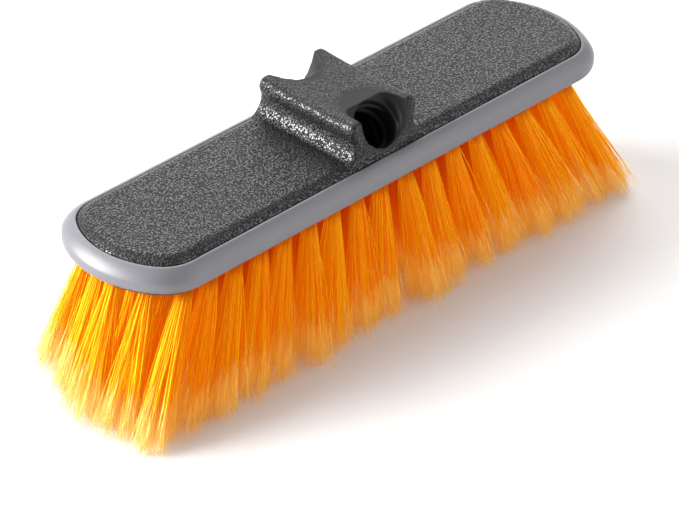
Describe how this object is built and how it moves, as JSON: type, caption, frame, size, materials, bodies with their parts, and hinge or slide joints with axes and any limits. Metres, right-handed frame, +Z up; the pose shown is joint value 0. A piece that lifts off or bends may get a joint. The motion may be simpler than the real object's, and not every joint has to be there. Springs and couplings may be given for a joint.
{
  "type": "deck brush head",
  "caption": "Oblong scrubbing brush head with a soft bumper rim, flared tufts and two slanted threaded handle sockets in a central hub.",
  "frame": {"origin": "on the floor, under the centre of the head, standing on its bristle tips", "axes": "+Z up out of the socket hub, +X along the head's length, +Y across it; the sockets slope up towards -Y and +Y"},
  "size_m": [0.278, 0.079, 0.0843],
  "materials": {
    "block_plastic": "black moulded plastic with a fine leather grain, semi-matt",
    "bumper_rubber": "smooth grey soft-touch rubber, satin",
    "bristle_filament": "orange plastic filament with split pale tips"
  },
  "bodies": {
    "root": {"brush_block": "block_plastic", "bumper_rim": "bumper_rubber", "bristle_section_1": "bristle_filament", "bristle_section_2": "bristle_filament", "bristle_section_3": "bristle_filament", "bristle_section_4": "bristle_filament"}
  },
  "joints": []
}
